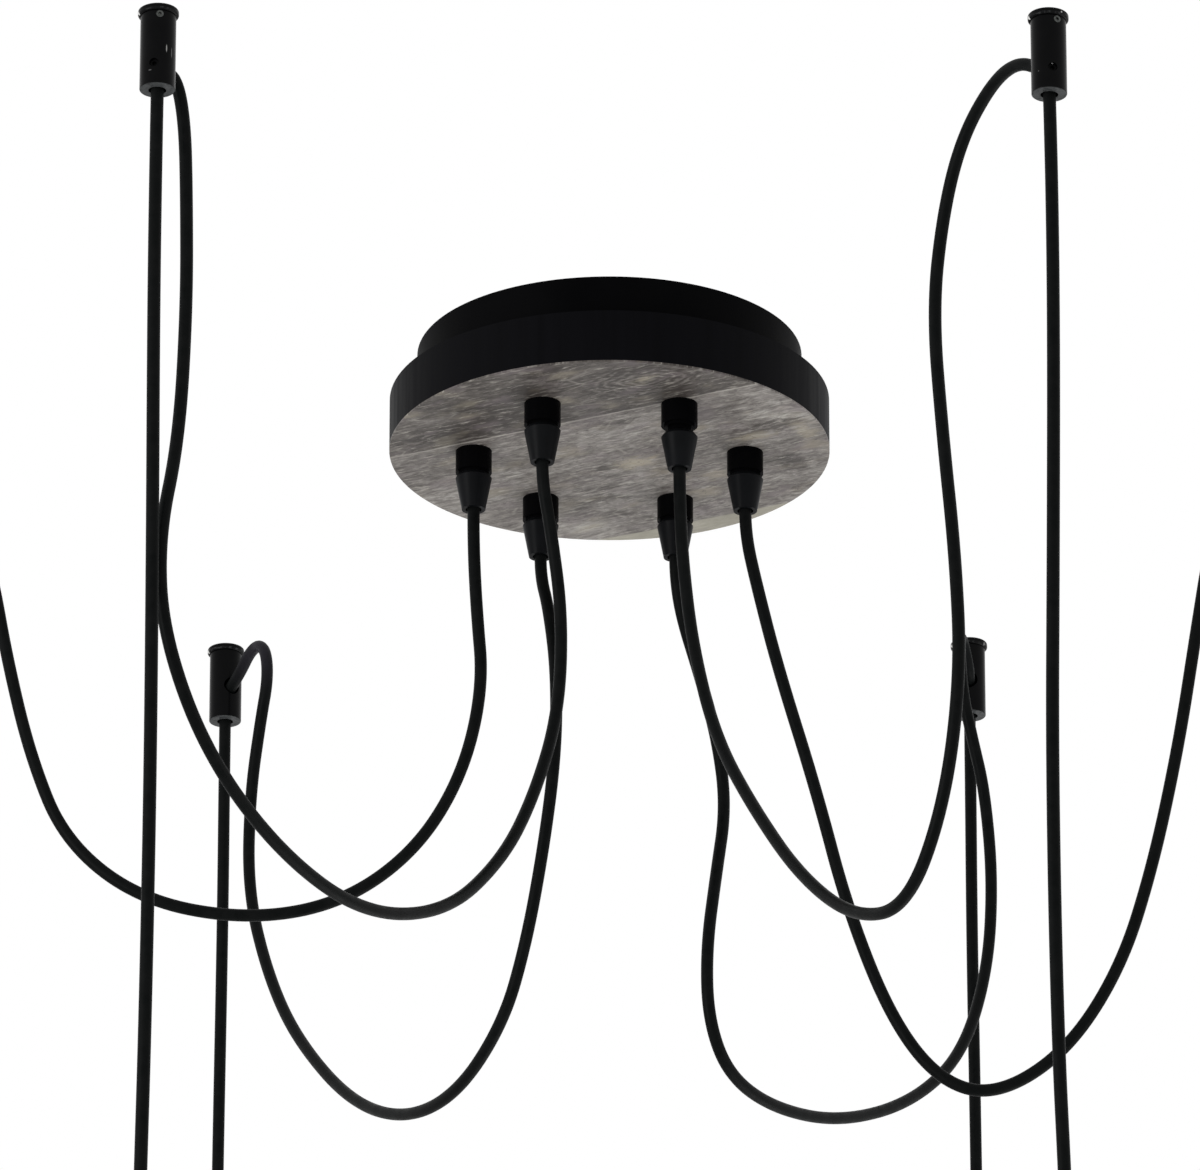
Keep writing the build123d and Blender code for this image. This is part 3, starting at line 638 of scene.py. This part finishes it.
def hook_coat():
    """Glossy black coat, with a painted reflection grey on the end face, a painted highlight on
    the flange's lip and painted glints in spots.
    """
    finish = Finish("hook_coat", (4, 4, 5), roughness=0.22, specular=0.055)
    height = finish.height()
    clouds = finish.noise(finish.place, scale=90.0, detail=4.0, roughness=0.6)
    # Noise that breaks up the painted reflection, the painted highlight and the painted glints
    wear = finish.noise(finish.place, scale=420.0, detail=3.0)
    colour = finish.shades(clouds, dark=(3, 3, 4), pale=(6, 6, 7))
    # Painted reflection: the end face painted grey, as if it mirrored the pale floor below
    foot = finish.between(height, hook_foot, hook_foot + hook_edge, 1.0, 0.0)
    foot = finish.times(foot, finish.between(wear, *foot_reflection_breakup))
    colour = finish.mix(foot, colour, foot_reflection_shade)
    # Painted highlight: a grey ring painted on the flange's lip where it catches the light
    lip = finish.between(finish.gap(height, hook_lip), hook_edge, hook_edge * 2, 1.0, 0.0)
    lip = finish.times(lip, finish.between(wear, *lip_highlight_breakup))
    colour = finish.mix(lip, colour, lip_highlight_shade)
    # Painted glints: bright marks painted where highlights fall on the flanges and hole rims
    for spot_arms, place, half_width, half_height, shade in painted_glints:
        for arm in spot_arms:
            at = hook_centre(arm) + Vector(place)
            scale = (1 / half_width, 1 / half_width, 1 / half_height)
            offset = tuple(-part * size for part, size in zip(at, scale))
            ring = finish.sum(finish.length(finish.scaled(scale, offset=offset)),
                              finish.times(wear, glint_ragged))
            glint_share = finish.between(ring, glint_core, glint_reach, 1.0, 0.0)
            colour = finish.mix(glint_share, colour, shade)
    finish.use("Base Color", colour)
    finish.vary_roughness(clouds, low=0.19, high=0.27)
    grain = finish.noise(finish.place, scale=1600.0, detail=2.0)
    finish.bump(grain, distance=0.00002, strength=0.5)
    return finish.material


def screw_metal():
    """Set screws: dull steel under the flange, and painted black lower down on the one that clamps
    the cord, as painted shade of its deep hole.
    """
    finish = Finish("screw_metal", (96, 98, 96), roughness=0.34, specular=0.04,
                    metallic=screw_metallic)
    clouds = finish.noise(finish.place, scale=700.0, detail=3.0)
    steel = finish.shades(clouds, dark=(52, 54, 53), pale=(90, 92, 90))
    # Painted shade: below this height the clamp screw is painted black in place of the shade in
    # its deep hole
    black = finish.between(finish.height(), screw_change - screw_soft, screw_change + screw_soft,
                           1.0, 0.0)
    finish.use("Base Color", finish.mix(black, steel, (7, 7, 8)))
    finish.use("Metallic", finish.sum(screw_metallic, black, "SUBTRACT", clamp=True))
    finish.vary_roughness(clouds, low=0.30, high=0.44)
    return finish.material


def striped_lead():
    """Green insulation with ragged yellow bands."""
    finish = Finish("lead_green", lead_green[1], roughness=0.4, specular=0.5)
    bands = finish.noise(finish.scaled((lead_bands, lead_bands, lead_bands)), detail=0.0)
    finish.use("Base Color", finish.ramp(bands, (lead_green, lead_yellow)))
    return finish.material


def plain_finish(name, colour, roughness, specular, metallic, spread, relief):
    """Moulded or plated surface: fine grain, faint clouds in its colour and gloss."""
    finish = Finish(name, colour, roughness, specular, metallic)
    clouds = finish.noise(finish.place, scale=60.0, detail=4.0, roughness=0.55)
    grain = finish.noise(finish.place, scale=900.0, detail=2.0)
    dark = [value * (1 - spread) for value in colour]
    pale = [min(value * (1 + spread), 255) for value in colour]
    finish.vary_colour(clouds, dark, pale)
    finish.vary_roughness(clouds, roughness * (1 - gloss_spread), roughness * (1 + gloss_spread))
    finish.bump(grain, relief, strength=0.5)
    return finish.material


def dress(node, material):
    """Give a CAD node its finish, in each of its material slots."""
    piece = nodes[node]
    if not piece.material_slots:
        piece.data.materials.append(material)
    for slot in piece.material_slots:
        slot.material = material


plain_finishes = {name: plain_finish(name, *look) for name, look in plain_looks.items()}
sheath = cord_sheath()
hook_black = hook_coat()
node_finishes = {
    "ceiling_bracket": plain_finishes["zinc"],
    "base_pan": powder_coat(),
    "pan_side_screws": plain_finishes["black_oxide"],
    "disc_body": disc_lacquer(),
    "disc_face_panel": wood_print(),
    "disc_screws": plain_finishes["zinc"],
    "terminal_block": plain_finishes["nylon"],
    "terminal_screws": plain_finishes["brass"],
    "leads_neutral": plain_finishes["lead_blue"],
    "leads_earth": striped_lead(),
    "leads_live": plain_finishes["lead_brown"],
    "grip_nuts": plain_finishes["grip_matte"],
    "grip_collets": plain_finishes["collet"],
    "grip_locknuts": plain_finishes["locknut"],
    "cord_ends": sheath,
    "hook_bases": hook_black,
    "hook_screws": screw_metal(),
}
for number in range(1, len(arms) + 1):
    node_finishes[f"grip_body_{number}"] = plain_finishes["grip_gloss"]
    node_finishes[f"hook_body_{number}"] = hook_black
    node_finishes[f"holder_cap_{number}"] = plain_finishes["phenolic"]
    node_finishes[f"holder_sleeve_{number}"] = plain_finishes["phenolic"]
    node_finishes[f"holder_insert_{number}"] = plain_finishes["ceramic"]
for node, material in node_finishes.items():
    dress(node, material)
for cord in cords:
    cord.data.materials.append(sheath)


# Inside the lampholders
socket_depth = 0.025
shell_inset = 0.0025
shell_height = 0.0198
shell_pitch = 0.0036
shell_radius = 0.01262
shell_wave = 0.00033
shell_thickness = 0.0003
shell_sides = 64
rows_per_turn = 8
tongue_start = -0.0085
tongue_end = 0.0045
tongue_width = 0.006
tongue_drop = 0.0032
tongue_steepness = 1.25
tongue_taper = 0.35
tongue_thickness = 0.0004
tongue_steps = 14
tongue_across = (-1, -0.5, 0, 0.5, 1)


def piece_from(name, vertices, faces, body, material):
    """New piece on a body, with its finish."""
    mesh = bpy.data.meshes.new(name)
    mesh.from_pydata(vertices, [], faces)
    mesh.validate()
    for face in mesh.polygons:
        face.use_smooth = True
    piece = bpy.data.objects.new(name, mesh)
    piece.data.materials.append(material)
    bpy.context.scene.collection.objects.link(piece)
    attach(piece, body)
    return piece


def thickened(piece, thickness):
    """Give a sheet its thickness, half to each side."""
    wall = piece.modifiers.new("thickness", "SOLIDIFY")
    wall.thickness = thickness
    wall.offset = 0


def socket_shell(arm):
    """Threaded metal shell that a lamp screws into, inside the insert."""
    centre = hook_centre(arm)
    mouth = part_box(f"holder_insert_{arm + 1}")[0].z
    rows = round(shell_height / shell_pitch * rows_per_turn)
    vertices = []
    for row in range(rows + 1):
        height = shell_height * row / rows
        for side in range(shell_sides):
            angle = tau * side / shell_sides
            radius = shell_radius + shell_wave * cos(tau * height / shell_pitch - angle)
            vertices.append((centre.x + radius * cos(angle), centre.y + radius * sin(angle),
                             mouth + shell_inset + height))
    faces = []
    for row in range(rows):
        for side in range(shell_sides):
            beside = (side + 1) % shell_sides
            low, high = row * shell_sides, (row + 1) * shell_sides
            faces.append((low + side, high + side, high + beside, low + beside))
    piece = piece_from(f"socket_shell_{arm + 1}", vertices, faces, f"pendant_{arm + 1}",
                       plain_finishes["shell_nickel"])
    thickened(piece, shell_thickness)


def socket_contact(arm):
    """Sprung tongue in the middle of the socket's floor."""
    centre = hook_centre(arm)
    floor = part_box(f"holder_insert_{arm + 1}")[0].z + socket_depth
    vertices = []
    for step in range(tongue_steps + 1):
        share = step / tongue_steps
        along = tongue_start + (tongue_end - tongue_start) * share
        dip = sin(pi * min(share * tongue_steepness, 1) / 2) ** 2
        height = floor - tongue_thickness - tongue_drop * dip
        half = tongue_width / 2 * (1 - tongue_taper * share ** 3)
        for across in tongue_across:
            vertices.append((centre.x + along, centre.y + half * across, height))
    row_length = len(tongue_across)
    faces = []
    for row in range(tongue_steps):
        for side in range(row_length - 1):
            low = row * row_length + side
            high = low + row_length
            faces.append((low, low + 1, high + 1, high))
    piece = piece_from(f"socket_contact_{arm + 1}", vertices, faces, f"pendant_{arm + 1}",
                       plain_finishes["contact_brass"])
    thickened(piece, tongue_thickness)


for arm in arms:
    socket_shell(arm)
    socket_contact(arm)


# Studio
world_light = 0.5
backdrop_light = 1.0
floor_height = -3.0
floor_radius = 14.0
floor_sides = 96
floor_glow = 0.6
white = (1, 1, 1, 1)


def seen_rays(tree):
    """1 on the rays that show the background, in gloss and glass too, and 0 on the rest."""
    path = tree.nodes.new("ShaderNodeLightPath").outputs
    seen = path["Is Camera Ray"]
    for kind in ("Is Glossy Ray", "Is Transmission Ray"):
        either = tree.nodes.new("ShaderNodeMath")
        either.operation = "MAXIMUM"
        tree.links.new(seen, either.inputs[0])
        tree.links.new(path[kind], either.inputs[1])
        seen = either.outputs[0]
    return seen


def make_world():
    """White all round: a plain light on the object, and pure white where it is seen."""
    world = bpy.data.worlds.new("studio")
    bpy.context.scene.world = world
    world.use_nodes = True
    tree = world.node_tree
    strength = tree.nodes.new("ShaderNodeMapRange")
    strength.inputs["To Min"].default_value = world_light
    strength.inputs["To Max"].default_value = backdrop_light
    tree.links.new(seen_rays(tree), strength.inputs["Value"])
    background = tree.nodes["Background"]
    background.inputs["Color"].default_value = white
    tree.links.new(strength.outputs["Result"], background.inputs["Strength"])


def area_lamp(name, place, aim, size, power):
    data = bpy.data.lights.new(name, "AREA")
    data.shape = "RECTANGLE"
    data.size = size[0]
    data.size_y = size[1]
    data.energy = power
    lamp = bpy.data.objects.new(name, data)
    lamp.location = place
    lamp.rotation_euler = (Vector(aim) - Vector(place)).to_track_quat("-Z", "Y").to_euler()
    bpy.context.scene.collection.objects.link(lamp)


def make_floor():
    """Pale floor well below the light, seen from above only, with some glow of its own."""
    mesh = bpy.data.meshes.new("floor")
    grid = bmesh.new()
    bmesh.ops.create_circle(grid, cap_ends=True, segments=floor_sides, radius=floor_radius)
    grid.to_mesh(mesh)
    grid.free()
    floor = bpy.data.objects.new("floor", mesh)
    floor.location.z = floor_height
    bpy.context.scene.collection.objects.link(floor)
    finish = Finish("floor", (236, 236, 235), roughness=0.8, specular=0.2)
    grain = finish.noise(finish.place, scale=3.0, detail=4.0)
    finish.vary_colour(grain, dark=(233, 233, 232), pale=(239, 239, 238))
    under = finish.add("NewGeometry").outputs["Backfacing"]
    clear = finish.add("BsdfTransparent").outputs["BSDF"]
    share = finish.times(seen_rays(finish.tree), floor_glow)
    glow = finish.add("Emission", values={"Color": white, "Strength": backdrop_light}).outputs[0]
    lit = finish.add("MixShader", {0: share, 1: finish.shader.outputs["BSDF"], 2: glow})
    one_sided = finish.add("MixShader", {0: under, 1: lit.outputs[0], 2: clear})
    finish.tree.links.new(one_sided.outputs[0],
                          finish.tree.nodes["Material Output"].inputs["Surface"])
    mesh.materials.append(finish.material)


make_world()
make_floor()
area_lamp("left_light", place=(-2.6, -2.0, -0.9), aim=(0, 0, -0.3), size=(1.6, 2.4), power=60)
area_lamp("right_light", place=(3.0, -0.4, -1.2), aim=(0, 0, -0.3), size=(1.4, 2.0), power=20)
area_lamp("low_light", place=(1.2, 1.2, -2.2), aim=(0, 0, -0.2), size=(2.2, 2.2), power=29)
bpy.context.scene.view_settings.view_transform = "Standard"
